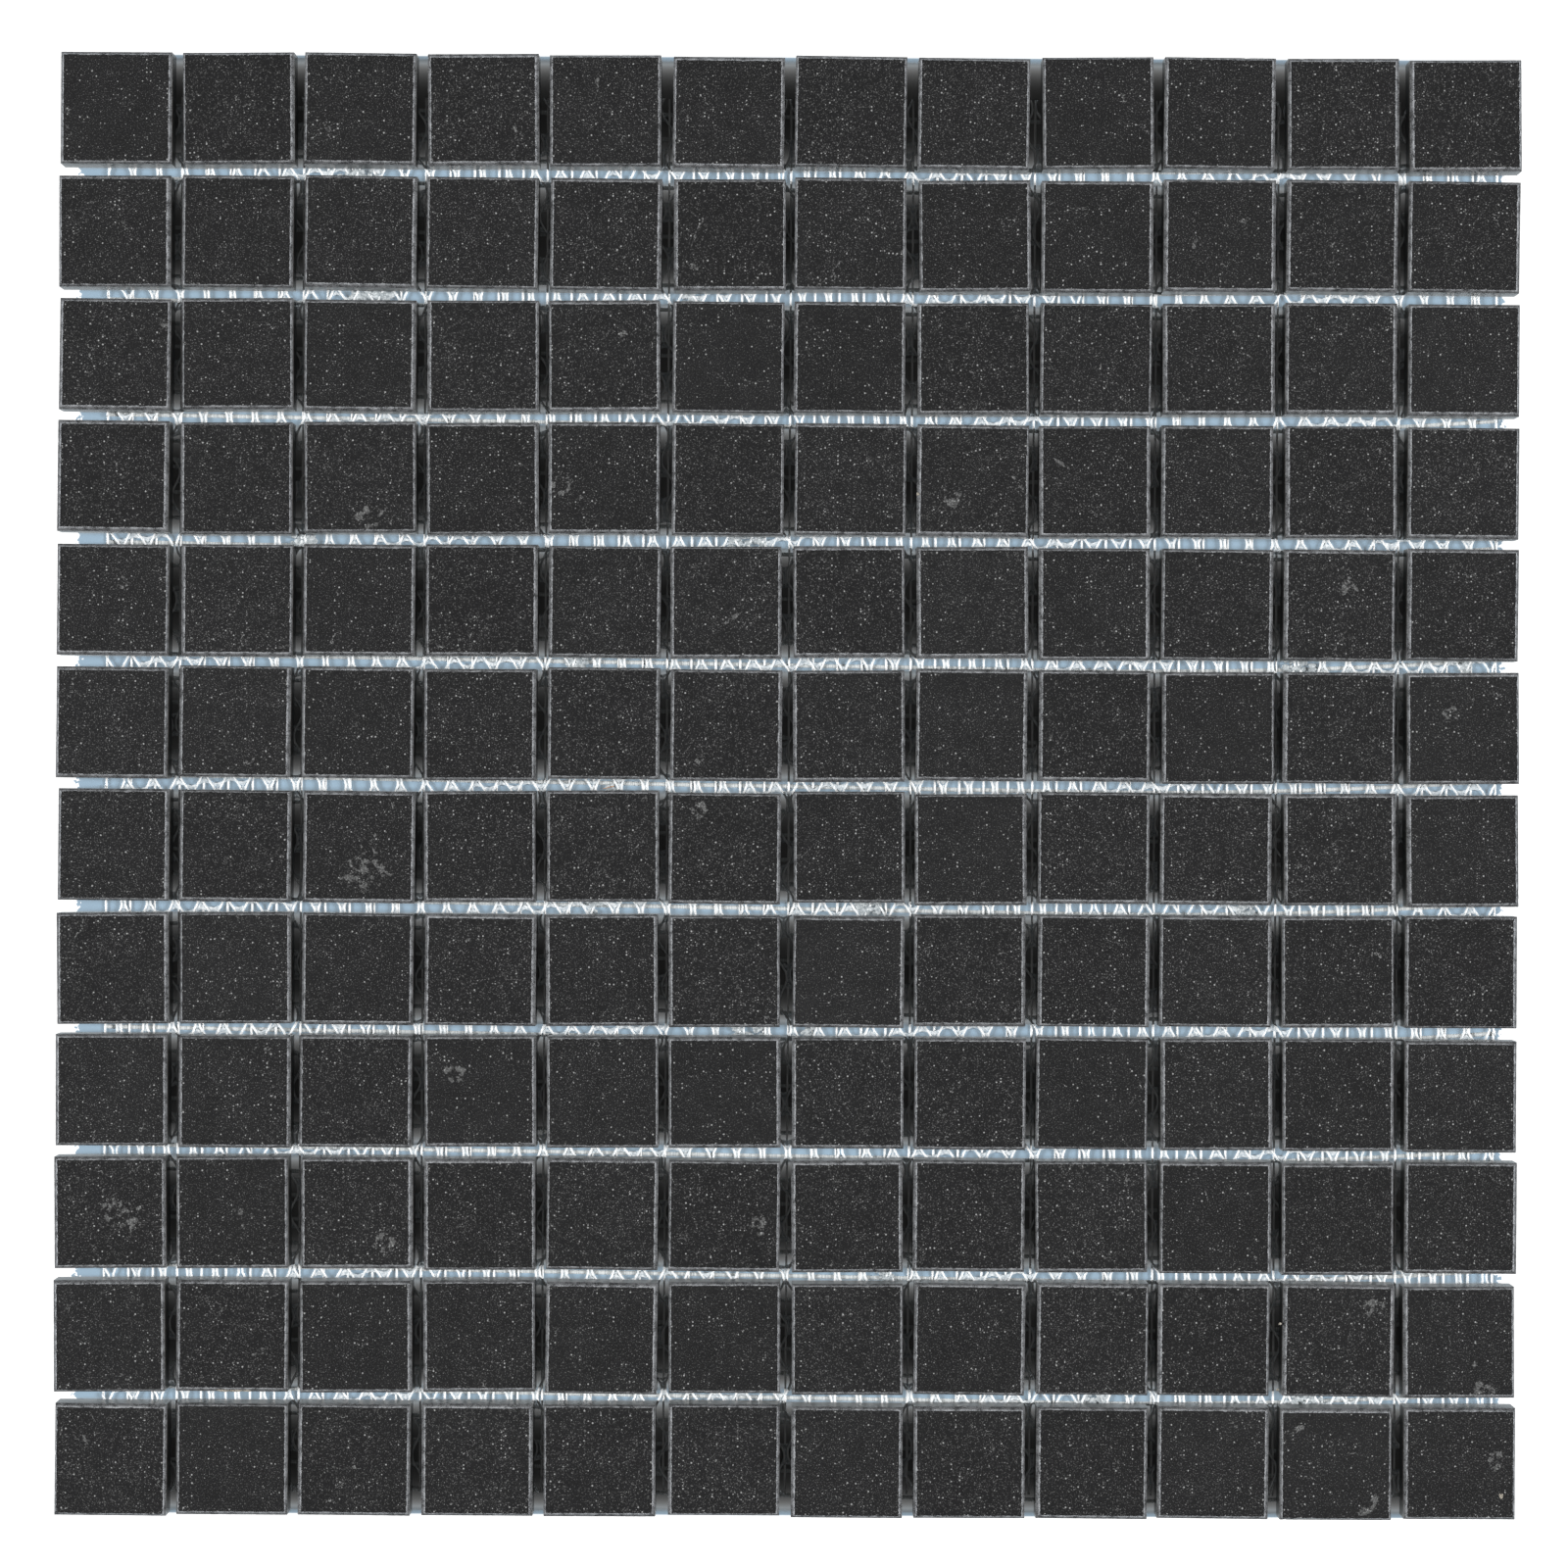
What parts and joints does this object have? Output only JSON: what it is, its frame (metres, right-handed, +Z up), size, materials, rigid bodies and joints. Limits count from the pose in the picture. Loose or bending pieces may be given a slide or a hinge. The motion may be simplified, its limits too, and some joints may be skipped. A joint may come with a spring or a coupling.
{
  "type": "mosaic tile sheet",
  "caption": "Square sheet of small square black stone mosaic chips with bevelled arrises, held in a grid by an open mesh backing.",
  "frame": {"origin": "on the floor under the middle of the sheet as it lies face up", "axes": "+Z up through the polished faces, +X along a row of chips, +Y from the bottom row to the top row"},
  "size_m": [0.2982, 0.2984, 0.0089],
  "materials": {
    "black_stone": "satin polished face, ground arrises, sawn sides",
    "knitted_yarn": "white polyester yarn stiffened with glue",
    "glass_warp": "white coated glass-fibre strand",
    "glass_weft": "cream coated glass-fibre ribbon"
  },
  "bodies": {
    "root": {"chip_row_01": "black_stone", "chip_row_02": "black_stone", "chip_row_03": "black_stone", "chip_row_04": "black_stone", "chip_row_05": "black_stone", "chip_row_06": "black_stone", "chip_row_07": "black_stone", "chip_row_08": "black_stone", "chip_row_09": "black_stone", "chip_row_10": "black_stone", "chip_row_11": "black_stone", "chip_row_12": "black_stone", "knitted_net": "knitted_yarn", "scrim_warp": "glass_warp", "scrim_weft": "glass_weft"}
  },
  "joints": []
}
